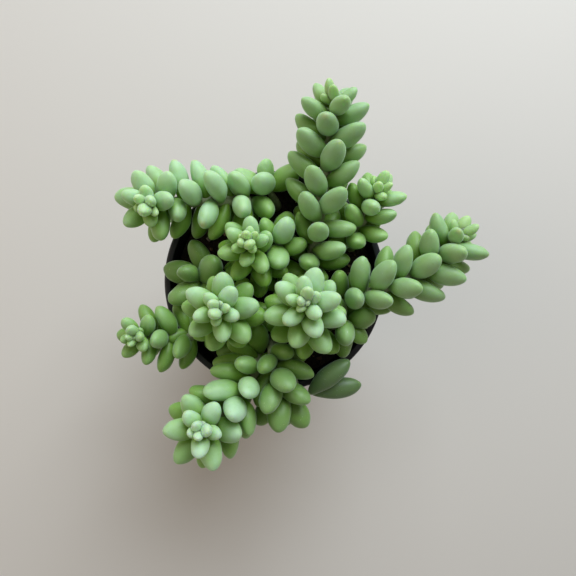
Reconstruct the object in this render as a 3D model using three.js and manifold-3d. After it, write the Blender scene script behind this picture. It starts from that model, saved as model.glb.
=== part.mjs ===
// A burro's tail (a hanging stonecrop with plump, powdery leaves) in a round nursery pot.
// Millimetres, +Z up. The origin is the middle of the pot's underside, and +Y is the back.
import * as THREE from 'three';
import { mergeVertices } from 'three/addons/utils/BufferGeometryUtils.js';
import Module from 'manifold-3d';

const wasm = await Module();
wasm.setup();

// ---- The pot and its soil ----
const potHeight = 62;
const rimRadius = 35;
const baseRadius = 24.5;
const wallTopRadius = 33.2;      // the wall's outer face, just under the rim
const wall = 0.9;
const floorThickness = 1.4;
const rimDepth = 3.2;            // height of the rolled rim
const stackingStep = 0.7;        // the small ledge that keeps stacked pots apart
const stepHeight = 46;
const potSides = 30;
const drainHoles = 6;
const drainRadius = 2.8;
const drainCircle = 17;
const drainSides = 8;
const soilTop = 57;
const soilGap = 0.35;            // between the soil and the pot
const soilRelief = 0.9;
const soilRings = 5;

// ---- Stems and leaves ----
const stemRadius = 1.8;
const stemTipRadius = 0.5;
const stemSides = 6;
const taper = 12;                // length of tip over which a stem thins
const bareFoot = 4;              // the bare length of a stem just above the soil
const rootDepth = 9;             // how deep a stem stands in the soil
const holeGap = 0.4;
const holeSides = 7;
const curveSteps = 120;
const goldenAngle = 137.50776;
const plumpness = 0.52;          // a full-grown leaf's width against its length
const budPlumpness = 0.22;       // how much rounder the youngest leaves are
const leafBend = 0.14;           // how far a leaf's tip curves up towards the stem's tip
const leafFlatness = 0.86;
const widest = 0.52;             // where along its length a leaf is widest
const rootWidth = 0.26;          // the leaf's width at its root, against its widest
const leafSides = 5;
const shortLeaf = 11.9;          // leaves shorter than this have one side fewer
const tidied = 0.03;             // slivers where leaves cross are taken up to this size

// How leaves grow from the tip of a stem downwards, and how much they differ by chance.
const budShare = 0.18;           // the youngest leaf's length against a full-grown one's
const growthPace = 1.5;          // above 1, the buds stay small first and then grow fast
const roundedBuds = 5;           // how many leaves it takes to lose the buds' roundness
const crowdedBuds = 6;           // how many leaves it takes to reach the full spacing
const bearingPlay = 14;          // degrees
const anglePlay = 10;            // degrees
const lengthPlay = 0.12;

// How the leaves stand on a stem: spacing along it, how many leaves it takes to grow to
// full size, the angle from the stem at the tip and when full grown, and how many leaves
// it takes to open.
const upright = { spacing: 1.15, growth: 7.5, tipAngle: 14, spread: 92, opening: 9 };
const arching = { spacing: 1.5, growth: 6, tipAngle: 12, spread: 68, opening: 6 };
const fanned = { spacing: 1.5, growth: 5.6, tipAngle: 14, spread: 84, opening: 4 };
const oldShoot = { spacing: 1.6, growth: 1, tipAngle: 30, spread: 76, opening: 5 };

// Each stem: where it stands in the soil (x, y), the two pull points of its curve, its tip,
// the number and length of its leaves, the bearing of its first leaf, the way its spiral
// winds and the draw of its small irregularities.
const stems = [
  { name: 'stem_centre_right', habit: upright, foot: [11, -16],
    pulls: [[10.5, -15, 67], [9.3, -8, 78]], tip: [8.8, -5.8, 88],
    leaves: 29, length: 13, bearing: 350, hand: 1, draw: 42 },
  { name: 'stem_centre_left', habit: upright, foot: [-13, -12],
    pulls: [[-12.5, -12, 67], [-15, -8.7, 76]], tip: [-13.9, -8, 86],
    leaves: 27, length: 13, bearing: 300, hand: -1, draw: 34 },
  { name: 'stem_centre_back', habit: upright, foot: [-4, 5],
    pulls: [[-4.5, 5, 66], [-6.8, 9.8, 74]], tip: [-6.6, 10.3, 82],
    leaves: 24, length: 11.2, bearing: 264, hand: 1, draw: 22 },
  { name: 'stem_front_left', habit: fanned, foot: [-5.5, -21],
    pulls: [[-2, -31, 88], [-22.7, -47.3, 56]], tip: [-18.8, -40, 84],
    leaves: 40, length: 13, bearing: 300, hand: 1, draw: 63 },
  { name: 'stem_back_left', habit: fanned, foot: [-6, 26],
    pulls: [[-9.5, 21.5, 84], [-38.2, 25.5, 58]], tip: [-33.7, 20.5, 82],
    leaves: 40, length: 12.2, bearing: 110, hand: -1, draw: 11 },
  { name: 'stem_left', habit: fanned, foot: [-22.5, -17.5],
    pulls: [[-24, -16.5, 76], [-40.7, -18.5, 58]], tip: [-39.7, -16, 74],
    leaves: 26, length: 10.8, bearing: 150, hand: 1, draw: 53 },
  { name: 'stem_right', habit: arching, foot: [19.5, -5.5],
    pulls: [[24, -7, 84], [46.5, 2.5, 66]], tip: [52.9, 13, 76],
    leaves: 42, length: 12.4, bearing: 50, hand: -1, draw: 95 },
  { name: 'stem_back', habit: arching, foot: [10.5, 1.5],
    pulls: [[13, 11, 80], [16, 39.3, 68]], tip: [17.2, 49.6, 80],
    leaves: 45, length: 12.4, bearing: 320, hand: 1, draw: 71 },
  { name: 'stem_back_right', habit: arching, foot: [25, 11],
    pulls: [[24, 14.5, 70], [29, 21.5, 66]], tip: [30, 26.3, 74],
    leaves: 24, length: 11.2, bearing: 230, hand: 1, draw: 83 },
  { name: 'shoot_middle', habit: oldShoot, foot: [-0.5, -18],
    pulls: [[-0.5, -21, 72], [0.5, -29, 74]], tip: [3, -36.5, 66],
    leaves: 17, length: 12, bearing: 0, hand: 1, draw: 131 },
  { name: 'shoot_front_right', habit: oldShoot, foot: [5, -26],
    pulls: [[5, -30, 69], [6, -36, 70]], tip: [12, -34, 66.5],
    leaves: 4, length: 16, bearing: 240, hand: 1, draw: 101 },
  { name: 'shoot_back', habit: oldShoot, foot: [0.5, 24.5],
    pulls: [[0.5, 25, 61], [-1, 27.5, 64]], tip: [-2.5, 29.5, 66],
    leaves: 5, length: 11.5, bearing: 0, hand: 1, draw: 111 },
  { name: 'shoot_centre', habit: oldShoot, foot: [4, 2.5],
    pulls: [[4, 3, 62], [2, 8, 66]], tip: [1, 12, 71],
    leaves: 7, length: 11, bearing: 40, hand: 1, draw: 141 },
  { name: 'shoot_right', habit: oldShoot, foot: [18, -14],
    pulls: [[18, -14, 61], [21, -13.5, 65]], tip: [23, -13, 69],
    leaves: 6, length: 11, bearing: 100, hand: -1, draw: 151 },
  { name: 'shoot_left', habit: oldShoot, foot: [-17.5, 2],
    pulls: [[-18, 2, 60], [-21.5, 1, 64]], tip: [-23.5, 0, 66],
    leaves: 8, length: 12.4, bearing: 0, hand: 1, draw: 121 },
];

// ---- Colours ----
const leafGreen = 0x9cc088;
const soilBrown = 0x2b211a;
const plasticBlack = 0x0b0e13;

const radians = Math.PI / 180;

// ---- Solids ----

function solidOf(geometry) {
  const bare = geometry.clone();
  bare.deleteAttribute('normal');
  bare.deleteAttribute('uv');
  const merged = mergeVertices(bare, 1e-3);
  const solid = new wasm.Manifold(new wasm.Mesh({
    numProp: 3,
    vertProperties: new Float32Array(merged.attributes.position.array),
    triVerts: new Uint32Array(merged.index.array),
  }));
  return solid;
}

function geometryOf(solid) {
  const mesh = solid.getMesh();
  const geometry = new THREE.BufferGeometry();
  geometry.setAttribute('position', new THREE.BufferAttribute(mesh.vertProperties, 3));
  geometry.setIndex(new THREE.BufferAttribute(mesh.triVerts, 1));
  return geometry;
}

// A solid turned round the vertical axis from (radius, height) points.
function turned(points, sides) {
  const outline = points.map(([radius, height]) => new THREE.Vector2(radius, height));
  const geometry = new THREE.LatheGeometry(outline, sides);
  geometry.rotateX(Math.PI / 2);
  return geometry;
}

// A plain upright rod, used to drill holes and to root the stems.
function rod(x, y, low, high, radius, sides) {
  const geometry = new THREE.CylinderGeometry(radius, radius, high - low, sides);
  geometry.rotateX(Math.PI / 2);
  geometry.translate(x, y, (low + high) / 2);
  return solidOf(geometry);
}

// The biggest closed body of a solid, with any sealed hollow filled.
function oneBody(solid) {
  let biggest = solid;
  let volume = 0;
  for (const piece of solid.decompose()) {
    if (piece.volume() > volume) {
      biggest = piece;
      volume = piece.volume();
    }
  }
  return biggest;
}

// ---- Pot ----

// The wall's outer radius at a height, with the stacking step.
function wallRadius(height) {
  const rise = height / (potHeight - rimDepth);
  const step = height > stepHeight ? stackingStep : 0;
  return baseRadius + (wallTopRadius - stackingStep - baseRadius) * rise + step;
}

function makePot() {
  const stepTop = stepHeight + 1;
  const rimFoot = potHeight - rimDepth;
  const footBevel = 0.8;
  const rimRound = 0.8;
  const inside = (height) => wallRadius(height) - wall;
  const profile = [
    [0, 0],
    [baseRadius - footBevel, 0],
    [baseRadius, footBevel],
    [wallRadius(stepHeight), stepHeight],
    [wallRadius(stepTop), stepTop],
    [wallRadius(rimFoot), rimFoot],
    [rimRadius, rimFoot],
    [rimRadius, potHeight - rimRound],
    [rimRadius - rimRound, potHeight],
    [rimRadius - 2 * rimRound, potHeight],
    [inside(rimFoot), rimFoot],
    [inside(stepTop), stepTop],
    [inside(stepHeight), stepHeight],
    [inside(floorThickness), floorThickness],
    [0, floorThickness],
  ];
  let pot = solidOf(turned(profile, potSides));
  for (let k = 0; k < drainHoles; k += 1) {
    const angle = (k + 0.5) * 2 * Math.PI / drainHoles;
    const x = drainCircle * Math.cos(angle);
    const y = drainCircle * Math.sin(angle);
    pot = pot.subtract(rod(x, y, -1, floorThickness + 1, drainRadius, drainSides));
  }
  return geometryOf(pot);
}

// ---- Soil ----

// The unevenness of the soil's top, which dies out at the wall.
function soilBump(x, y) {
  const edge = Math.hypot(x, y) / wallTopRadius;
  const waves = Math.sin(x * 0.55 + 1.3) * Math.cos(y * 0.48) + 0.5 * Math.sin(x * 1.1 - y * 0.9);
  return soilRelief * waves / 1.5 * (1 - edge ** 4);
}

function makeSoil() {
  const bottom = floorThickness + soilGap;
  const fit = (height) => wallRadius(height) - wall - soilGap;
  const edge = fit(soilTop);
  const stepTop = stepHeight + 1;
  const profile = [
    [0, bottom],
    [fit(bottom), bottom],
    [fit(stepHeight), stepHeight],
    [fit(stepTop), stepTop],
  ];
  for (let k = 0; k < soilRings; k += 1) {
    profile.push([edge * (1 - k / soilRings), soilTop]);
  }
  profile.push([0, soilTop]);
  const geometry = turned(profile, potSides);
  const places = geometry.attributes.position;
  for (let k = 0; k < places.count; k += 1) {
    if (Math.abs(places.getZ(k) - soilTop) < 0.01) {
      places.setZ(k, soilTop + soilBump(places.getX(k), places.getY(k)));
    }
  }
  let soil = solidOf(geometry);
  for (const stem of stems) {
    const [x, y] = stem.foot;
    const bottomOfHole = soilTop - rootDepth - holeGap;
    const hole = rod(x, y, bottomOfHole, potHeight, stemRadius + holeGap, holeSides);
    soil = soil.subtract(hole);
  }
  return geometryOf(soil);
}

// ---- Leaves ----

// A stream of even random numbers from 0 to 1 that is the same on every run.
function drawsFrom(seed) {
  let state = seed;
  return () => {
    state = (state * 16807) % 2147483647;
    return state / 2147483647;
  };
}

// A leaf's half width along its length, from 0 at the root to 1 at the tip.
function leafOutline(t) {
  if (t < widest) {
    return rootWidth + (1 - rootWidth) * Math.sin(Math.PI / 2 * t / widest) ** 0.95;
  }
  const k = (t - widest) / (1 - widest);
  return Math.max(0, 1 - k ** 2.2) ** 0.7;
}

// A stem's centreline from tip to soil, with its directions and two cross directions.
function centreline(stem) {
  const foot = new THREE.Vector3(stem.foot[0], stem.foot[1], soilTop);
  const [low, high] = stem.pulls.map((point) => new THREE.Vector3(...point));
  const curve = new THREE.CubicBezierCurve3(foot, low, high, new THREE.Vector3(...stem.tip));
  const points = [];
  for (let k = 0; k <= curveSteps; k += 1) {
    points.push(curve.getPoint(1 - k / curveSteps));
  }
  const lengths = [0];
  for (let k = 1; k <= curveSteps; k += 1) {
    lengths.push(lengths[k - 1] + points[k].distanceTo(points[k - 1]));
  }
  const along = points.map((point, k) => {
    const ahead = points[Math.max(0, k - 1)];
    const behind = points[Math.min(curveSteps, k + 1)];
    return ahead.clone().sub(behind).normalize();
  });
  const across = [];
  let side = new THREE.Vector3(1, 0, 0);
  for (const direction of along) {
    side = side.clone().addScaledVector(direction, -side.dot(direction)).normalize();
    across.push(side);
  }
  return { curve, points, lengths, along, across };
}

// The leaves of one stem, from its tip down, each turned by the golden angle.
function leavesOf(stem, line) {
  const { habit } = stem;
  const draw = drawsFrom(stem.draw);
  const total = line.lengths[curveSteps];
  const leaves = [];
  let travelled = 0;
  let step = 0;
  for (let k = 0; k < stem.leaves && travelled < total - bareFoot; k += 1) {
    while (step < curveSteps - 1 && line.lengths[step + 1] < travelled) {
      step += 1;
    }
    const part = (travelled - line.lengths[step]) / (line.lengths[step + 1] - line.lengths[step]);
    const root = line.points[step].clone().lerp(line.points[step + 1], Math.min(1, part));
    const along = line.along[step];
    const across = line.across[step];
    const third = new THREE.Vector3().crossVectors(along, across);
    const bearing = (stem.bearing + stem.hand * goldenAngle * k + (draw() - 0.5) * bearingPlay) * radians;
    const opened = 1 - Math.exp(-k / habit.opening);
    const open = habit.tipAngle + (habit.spread - habit.tipAngle) * opened;
    const angle = (open + (draw() - 0.5) * anglePlay) * radians;
    const grown = 1 - (1 - budShare) * Math.exp(-((k / habit.growth) ** growthPace));
    const length = stem.length * grown * (1 + lengthPlay * (draw() - 0.5));
    const width = length * (plumpness + budPlumpness * Math.exp(-k / roundedBuds));
    const outward = across.clone().multiplyScalar(Math.cos(bearing));
    outward.addScaledVector(third, Math.sin(bearing));
    const cosine = Math.cos(angle);
    const sine = Math.sin(angle);
    leaves.push({
      stem,
      root,
      length,
      radius: width / 2,
      direction: along.clone().multiplyScalar(cosine).addScaledVector(outward, sine),
      upper: along.clone().multiplyScalar(sine).addScaledVector(outward, -cosine),
    });
    travelled += habit.spacing * (1 - Math.exp(-(k + 1) / crowdedBuds));
  }
  return leaves;
}

// ---- Leaves leaning on each other ----

// Each leaf is felt at a few stations along its middle, as balls of its own width.
const stations = [0.32, 0.5, 0.66, 0.82, 0.93];
const nearRoot = 0.45;            // nearer its root than this, a leaf may cross its neighbours
const ballShare = 0.95;          // a ball's radius against the leaf's half width
const rounds = 60;
const apart = 0.4;               // gap between the leaves of two stems
const sharing = 1.06;            // leaves of one stem may press this close together
const give = 0.3;                // how far a leaf yields to a leaf in one round
const firmGive = 0.8;            // and to the pot, the soil and a stem
const furthestMove = 1.2;
const rimHalf = 1;               // the rim is felt as a ring inside its thickness,
const rimMiddle = potHeight - 1.2;
const rimReach = 1.3;            // with this radius

function feel(leaf) {
  leaf.balls = stations.map((t) => {
    const centre = leaf.root.clone().addScaledVector(leaf.direction, leaf.length * t);
    centre.addScaledVector(leaf.upper, leaf.length * leafBend * t * t);
    return { t, centre, radius: leaf.radius * leafOutline(t) * ballShare };
  });
}

function pressPair(one, other) {
  const together = one.stem === other.stem;
  const difference = new THREE.Vector3();
  for (const a of one.balls) {
    for (const b of other.balls) {
      if (together && (a.t < nearRoot || b.t < nearRoot)) {
        continue;
      }
      const touch = together ? (a.radius + b.radius) * sharing : a.radius + b.radius + apart;
      difference.subVectors(a.centre, b.centre);
      const distance = difference.length() + 1e-9;
      if (distance < touch) {
        const push = (touch - distance) / distance * give;
        one.push.addScaledVector(difference, push * a.t);
        other.push.addScaledVector(difference, -push * b.t);
      }
    }
  }
}

// The pot's wall, its rim, the soil and the bare stems push leaves off, too.
function pressFixed(leaf, stemPoints) {
  const difference = new THREE.Vector3();
  const near = new THREE.Vector3();
  for (const ball of leaf.balls) {
    const { centre, radius, t } = ball;
    const reach = Math.hypot(centre.x, centre.y) + 1e-9;
    const keepOff = (thing, clearance) => {
      difference.subVectors(centre, thing);
      const distance = difference.length() + 1e-9;
      if (distance < radius + clearance) {
        const push = (radius + clearance - distance) / distance * firmGive;
        leaf.push.addScaledVector(difference, push * t);
      }
    };
    const rim = rimRadius - rimHalf;
    if (centre.z > potHeight - rimDepth) {
      near.set(centre.x / reach * rim, centre.y / reach * rim, Math.min(centre.z, rimMiddle));
      keepOff(near, rimReach + apart);
    } else {
      const middle = wallRadius(centre.z) - wall / 2;
      near.set(centre.x / reach * middle, centre.y / reach * middle, centre.z);
      keepOff(near, wall / 2 + apart);
    }
    if (reach < rim) {
      const floor = soilTop + soilRelief + apart + radius;
      leaf.push.z += Math.max(0, floor - centre.z) * t * firmGive;
    }
    for (const point of stemPoints) {
      if (point.stem !== leaf.stem) {
        keepOff(point.place, stemRadius + apart);
      }
    }
  }
}

// Pairs of leaves that could ever meet.
function neighbours(leaves) {
  const margin = 2;
  const pairs = [];
  for (let a = 0; a < leaves.length; a += 1) {
    for (let b = a + 1; b < leaves.length; b += 1) {
      const distance = leaves[a].root.distanceTo(leaves[b].root);
      if (distance < leaves[a].length + leaves[b].length + margin) {
        pairs.push([leaves[a], leaves[b]]);
      }
    }
  }
  return pairs;
}

function settle(leaves, stemPoints) {
  const pairs = neighbours(leaves);
  for (let round = 0; round < rounds; round += 1) {
    for (const leaf of leaves) {
      feel(leaf);
      leaf.push = new THREE.Vector3();
    }
    for (const [one, other] of pairs) {
      pressPair(one, other);
    }
    for (const leaf of leaves) {
      pressFixed(leaf, stemPoints);
      leaf.push.clampLength(0, furthestMove);
      leaf.direction.multiplyScalar(leaf.length).add(leaf.push).normalize();
      leaf.upper.addScaledVector(leaf.direction, -leaf.upper.dot(leaf.direction)).normalize();
    }
  }
  return pairs;
}

// Leaves of two stems that still press on each other stay a little smaller.
function slim(leaves, pairs) {
  const slimmings = 20;
  const shrink = 0.96;
  const leastGap = 0.15;
  for (let round = 0; round < slimmings; round += 1) {
    leaves.forEach(feel);
    const pressed = new Set();
    for (const [one, other] of pairs) {
      if (one.stem !== other.stem && gapBetween(one, other) < leastGap) {
        pressed.add(one);
        pressed.add(other);
      }
    }
    for (const leaf of pressed) {
      leaf.length *= shrink;
      leaf.radius *= shrink;
    }
  }
}

function gapBetween(one, other) {
  let least = Infinity;
  for (const a of one.balls) {
    for (const b of other.balls) {
      least = Math.min(least, a.centre.distanceTo(b.centre) - a.radius - b.radius);
    }
  }
  return least;
}

// ---- Leaf and stem solids ----

// A leaf turned from its outline, flattened, and bent up towards the stem's tip.
function leafSolid(leaf) {
  const rings = [0.32, 0.7];
  const fullness = 1.06;         // makes up for the flats between its few edges
  const sides = leaf.length < shortLeaf ? leafSides - 1 : leafSides;
  const outline = [new THREE.Vector2(0, 0)];
  for (const t of rings) {
    outline.push(new THREE.Vector2(leafOutline(t) * leaf.radius * fullness, t * leaf.length));
  }
  outline.push(new THREE.Vector2(0, leaf.length));
  const geometry = new THREE.LatheGeometry(outline, sides);
  geometry.scale(1, 1, leafFlatness);
  const places = geometry.attributes.position;
  for (let k = 0; k < places.count; k += 1) {
    const t = places.getY(k) / leaf.length;
    places.setZ(k, places.getZ(k) + leaf.length * leafBend * t * t);
  }
  const across = new THREE.Vector3().crossVectors(leaf.direction, leaf.upper);
  const frame = new THREE.Matrix4().makeBasis(across, leaf.direction, leaf.upper);
  frame.setPosition(leaf.root);
  geometry.applyMatrix4(frame);
  return solidOf(geometry);
}

// A round stem swept along its curve, thinner towards the tip.
function stemSolid(stem, line) {
  const section = new THREE.Shape();
  section.absarc(0, 0, stemRadius, 0, 2 * Math.PI);
  const steps = Math.ceil(line.lengths[curveSteps] / (3 * stemRadius));
  const geometry = new THREE.ExtrudeGeometry(section, {
    steps,
    curveSegments: stemSides / 2,
    extrudePath: line.curve,
  });
  const places = geometry.attributes.position;
  const place = new THREE.Vector3();
  for (let k = 0; k < places.count; k += 1) {
    place.fromBufferAttribute(places, k);
    let nearest = 0;
    for (let j = 1; j <= curveSteps; j += 1) {
      if (place.distanceTo(line.points[j]) < place.distanceTo(line.points[nearest])) {
        nearest = j;
      }
    }
    const thickness = Math.min(1, stemTipRadius / stemRadius + line.lengths[nearest] / taper);
    place.sub(line.points[nearest]).multiplyScalar(thickness).add(line.points[nearest]);
    places.setXYZ(k, place.x, place.y, place.z);
  }
  const [x, y] = stem.foot;
  const overlap = 0.6;
  const rooted = rod(x, y, soilTop - rootDepth, soilTop + overlap, stemRadius, stemSides);
  return solidOf(geometry).add(rooted);
}

// Places rounded to a thousandth of a millimetre, so that none are nearly the same.
function rounded(geometry) {
  const places = geometry.attributes.position;
  for (let k = 0; k < places.array.length; k += 1) {
    places.array[k] = Math.round(places.array[k] * 1000) / 1000;
  }
  return geometry;
}

function makeStem(stem, line, leaves) {
  let solid = stemSolid(stem, line);
  for (const leaf of leaves) {
    solid = solid.add(leafSolid(leaf));
  }
  const clean = oneBody(solid.simplify(tidied));
  return geometryOf(oneBody(solidOf(rounded(geometryOf(clean)))));
}

// ---- The plant in its pot ----

const group = new THREE.Group();

function addMesh(name, geometry, colour, roughness) {
  const material = new THREE.MeshStandardMaterial({ color: colour, roughness, metalness: 0 });
  const mesh = new THREE.Mesh(geometry, material);
  mesh.name = name;
  group.add(mesh);
}

addMesh('pot', makePot(), plasticBlack, 0.45);
addMesh('soil', makeSoil(), soilBrown, 0.95);

const lines = stems.map(centreline);
const foliage = stems.map((stem, k) => leavesOf(stem, lines[k]));
const stemPoints = [];
stems.forEach((stem, k) => {
  for (let j = 0; j <= curveSteps; j += 6) {
    stemPoints.push({ stem, place: lines[k].points[j] });
  }
});
const allLeaves = foliage.flat();
slim(allLeaves, settle(allLeaves, stemPoints));
stems.forEach((stem, k) => {
  addMesh(stem.name, makeStem(stem, lines[k], foliage[k]), leafGreen, 0.6);
});

export default group;
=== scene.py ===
# %% [markdown]
# # A burro's tail in its nursery pot
# Plump, powdery leaves wind round stems that stand up in the middle of a small black
# pot and arch out over its rim. The frame holds the measured solids: a pot, its soil and
# one solid of few-sided leaves for each leafy stem. Here every one of them gets its fine
# surface in the same place. The plant could be sculpted by hand or scattered with a node
# setup; a small rule in code is used instead, because the same rule placed the solids'
# leaves, so each smooth leaf lies over its plain one.

# %% Load the frame
import math

import bmesh
import bpy
import numpy as np
from mathutils import Matrix, Vector, noise


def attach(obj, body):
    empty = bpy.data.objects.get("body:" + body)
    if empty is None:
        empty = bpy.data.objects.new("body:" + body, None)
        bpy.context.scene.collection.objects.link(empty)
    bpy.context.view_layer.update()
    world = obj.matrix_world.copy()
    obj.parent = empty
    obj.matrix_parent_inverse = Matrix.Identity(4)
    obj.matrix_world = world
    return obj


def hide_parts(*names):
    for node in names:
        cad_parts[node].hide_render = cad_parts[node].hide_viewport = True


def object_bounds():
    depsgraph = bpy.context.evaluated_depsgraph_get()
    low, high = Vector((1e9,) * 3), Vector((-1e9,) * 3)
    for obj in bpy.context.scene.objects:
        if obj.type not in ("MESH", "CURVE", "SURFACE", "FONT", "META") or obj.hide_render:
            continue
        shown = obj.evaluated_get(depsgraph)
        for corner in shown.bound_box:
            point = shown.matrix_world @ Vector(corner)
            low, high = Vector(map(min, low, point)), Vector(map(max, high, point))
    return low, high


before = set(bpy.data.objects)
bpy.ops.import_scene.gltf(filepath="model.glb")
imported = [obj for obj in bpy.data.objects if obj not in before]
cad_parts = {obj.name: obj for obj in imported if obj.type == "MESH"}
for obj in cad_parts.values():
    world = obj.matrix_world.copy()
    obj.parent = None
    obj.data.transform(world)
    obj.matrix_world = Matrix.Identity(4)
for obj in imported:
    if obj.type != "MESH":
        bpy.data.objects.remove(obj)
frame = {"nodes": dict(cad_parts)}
cad_low, cad_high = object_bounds()
print("nodes:", ", ".join(frame["nodes"]))
print("box in mm:", [round(v * 1000, 1) for v in (*cad_low, *cad_high)])

# %% [markdown]
# ## Working units
# The solids were drawn in millimetres and the scene is in metres. Sizes below stay in
# millimetres, as a grower would give them. Colours are given as they look on a screen,
# and one helper turns them into the linear ones that shaders use.

# %% Units and screen colours
mm = 0.001


def srgb(red, green, blue):
    """A colour given as it looks on a screen, from 0 to 255, as the linear one shaders use."""
    def linear(value):
        value /= 255
        return value / 12.92 if value <= 0.04045 else ((value + 0.055) / 1.055) ** 2.4
    return (linear(red), linear(green), linear(blue), 1.0)


print("a middle grey as the shaders see it:", round(srgb(128, 128, 128)[0], 3))

# %% [markdown]
# ## From mesh to object
# A mesh could be modelled small and then scaled and moved as an object. Here it is built
# where it belongs, in millimetres, and scaled once inside its mesh, so that every object
# stays unturned at the origin and a pattern on its own coordinates can't slide.

# %% Finish a piece
def finished(name, bm, material, levels=0):
    """Turns a bmesh in millimetres into a smooth-shaded object in metres."""
    bmesh.ops.scale(bm, vec=(mm, mm, mm), verts=bm.verts)
    mesh = bpy.data.meshes.new(name)
    bm.to_mesh(mesh)
    bm.free()
    mesh.polygons.foreach_set("use_smooth", [True] * len(mesh.polygons))
    mesh.materials.append(material)
    piece = bpy.data.objects.new(name, mesh)
    bpy.context.scene.collection.objects.link(piece)
    if levels:
        smoother = piece.modifiers.new("smooth", "SUBSURF")
        smoother.levels = levels
        smoother.render_levels = levels
    return piece


# %% [markdown]
# ## The pot's dimensions
# These are the real sizes that the solid was drawn from: a common 7 cm nursery pot, 70 mm
# across its rim. They are written again here, as those of the soil, the stems and the
# leaves are further down, because every fine surface has to follow the very same rule.

# %% Dimensions of the pot
pot_height = 62
rim_radius = 35
base_radius = 24.5
wall_top_radius = 33.2
wall = 0.9
floor_thickness = 1.4
rim_depth = 3.2
stacking_step = 0.7
step_height = 46
drain_holes = 6
drain_radius = 2.8
drain_circle = 17
step_end = step_height + 1
rim_foot = pot_height - rim_depth


def wall_radius(height):
    """The pot wall's outer radius at a height, with the ledge that keeps pots apart."""
    rise = height / rim_foot
    step = np.where(np.asarray(height) > step_height, stacking_step, 0)
    return base_radius + (wall_top_radius - stacking_step - base_radius) * rise + step


def inner_radius(height):
    """The pot wall's inner radius at a height."""
    return float(wall_radius(height)) - wall


print("pot across the rim:", 2 * rim_radius, "mm; across the foot:", 2 * base_radius, "mm")

# %% [markdown]
# ## Node helpers
# Each finish is a small group of shader nodes. They could be wired in the shader editor;
# in code that takes many lines, so a few helpers start a material, add a node and feed
# its sockets.

# %% Start a material and add nodes
def new_material(name):
    """A material with its node tree and its Principled shader."""
    material = bpy.data.materials.new(name)
    material.use_nodes = True
    tree = material.node_tree
    return material, tree, tree.nodes["Principled BSDF"]


def add(tree, kind, **settings):
    """A shader node with its settings; numbers and links for its inputs go by socket name."""
    node = tree.nodes.new("ShaderNode" + kind)
    for name, value in settings.items():
        setattr(node, name, value)
    return node


def feed(tree, node, socket, value):
    """Links an output to a socket, or sets the socket's own value."""
    if isinstance(value, bpy.types.NodeSocket):
        tree.links.new(value, node.inputs[socket])
    else:
        node.inputs[socket].default_value = value


print("materials before the first finish:", len(bpy.data.materials))

# %% [markdown]
# ## Pattern helpers
# Nothing real is one even colour. Noise in the object's own space breaks a colour up, and
# it keeps its size in millimetres, because a finished piece sits unscaled at the origin.
# A range stretches the noise, a mix lays one colour on another, and a bump makes relief
# that is too fine for the mesh.

# %% Noise, ranges, mixes and fine relief
colour_sockets = (6, 7)
colour_output = 2


def speckle(tree, size, detail=3.0, roughness=0.55, offset=0.0):
    """Soft noise whose blotches are about size millimetres wide."""
    place = add(tree, "TexCoord").outputs["Object"]
    if offset:
        shifted = add(tree, "VectorMath", operation="ADD")
        feed(tree, shifted, 0, place)
        shifted.inputs[1].default_value = (offset, offset, offset)
        place = shifted.outputs[0]
    texture = add(tree, "TexNoise")
    feed(tree, texture, "Vector", place)
    feed(tree, texture, "Scale", 1 / (size * mm))
    feed(tree, texture, "Detail", detail)
    feed(tree, texture, "Roughness", roughness)
    return texture.outputs["Fac"]


def ramp(tree, factor, low, high, start=0.0, end=1.0):
    """Stretches a factor so that low becomes start and high becomes end, and no further."""
    node = add(tree, "MapRange")
    node.clamp = True
    feed(tree, node, "Value", factor)
    for socket, value in zip(("From Min", "From Max", "To Min", "To Max"), (low, high, start, end)):
        feed(tree, node, socket, value)
    return node.outputs["Result"]


def blend(tree, factor, under, over):
    """A colour between the one under and the one over it."""
    node = add(tree, "Mix", data_type="RGBA")
    feed(tree, node, "Factor", factor)
    for socket, colour in zip(colour_sockets, (under, over)):
        feed(tree, node, socket, colour)
    return node.outputs[colour_output]


def times(tree, first, second, operation="MULTIPLY"):
    """The product of two values, or what another operation makes of them."""
    node = add(tree, "Math", operation=operation)
    feed(tree, node, 0, first)
    feed(tree, node, 1, second)
    return node.outputs[0]


def attribute(tree, name):
    """A number that the mesh carries at each of its points."""
    return add(tree, "Attribute", attribute_name=name).outputs["Fac"]


def rough_surface(tree, shader, height, strength, depth):
    """Raises a surface by a height pattern, depth millimetres at its highest."""
    bump = add(tree, "Bump")
    feed(tree, bump, "Height", height)
    feed(tree, bump, "Strength", strength)
    feed(tree, bump, "Distance", depth * mm)
    tree.links.new(bump.outputs["Normal"], shader.inputs["Normal"])


print("pattern helpers:", ", ".join(helper.__name__ for helper in (speckle, ramp, blend, rough_surface)))

# %% [markdown]
# ## The pot's plastic
# A nursery pot is thin black polypropylene. It is not pure black: it has a faint blue
# cast, a satin skin with very fine flow marks, and a little dried soil dust on its rim.
# A plain black would look like a hole in the picture, so the colour is broken up by dust
# and the gloss by a faint noise.

# %% Pot plastic
black = srgb(17, 20, 27)
dried_soil = srgb(70, 66, 62)
plastic_ior = 1.49
dust_strength = 0.5


def make_plastic():
    """Satin black with dust in patches and grains."""
    material, tree, shader = new_material("black pot plastic")
    dust = ramp(tree, speckle(tree, 3.5, 5, 0.7), 0.55, 0.8, 0.0, 0.35)
    grit = ramp(tree, speckle(tree, 0.5, 2, 0.6, 3.0), 0.62, 0.72, 0.0, 0.5)
    dusty = times(tree, dust, grit, "MAXIMUM")
    colour = blend(tree, times(tree, dusty, dust_strength), black, dried_soil)
    feed(tree, shader, "Base Color", colour)
    feed(tree, shader, "Roughness", ramp(tree, speckle(tree, 6, 4, 0.6, 1.0), 0.3, 0.7, 0.36, 0.52))
    feed(tree, shader, "IOR", plastic_ior)
    rough_surface(tree, shader, speckle(tree, 0.8, 2), 0.25, 0.05)
    return material


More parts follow.
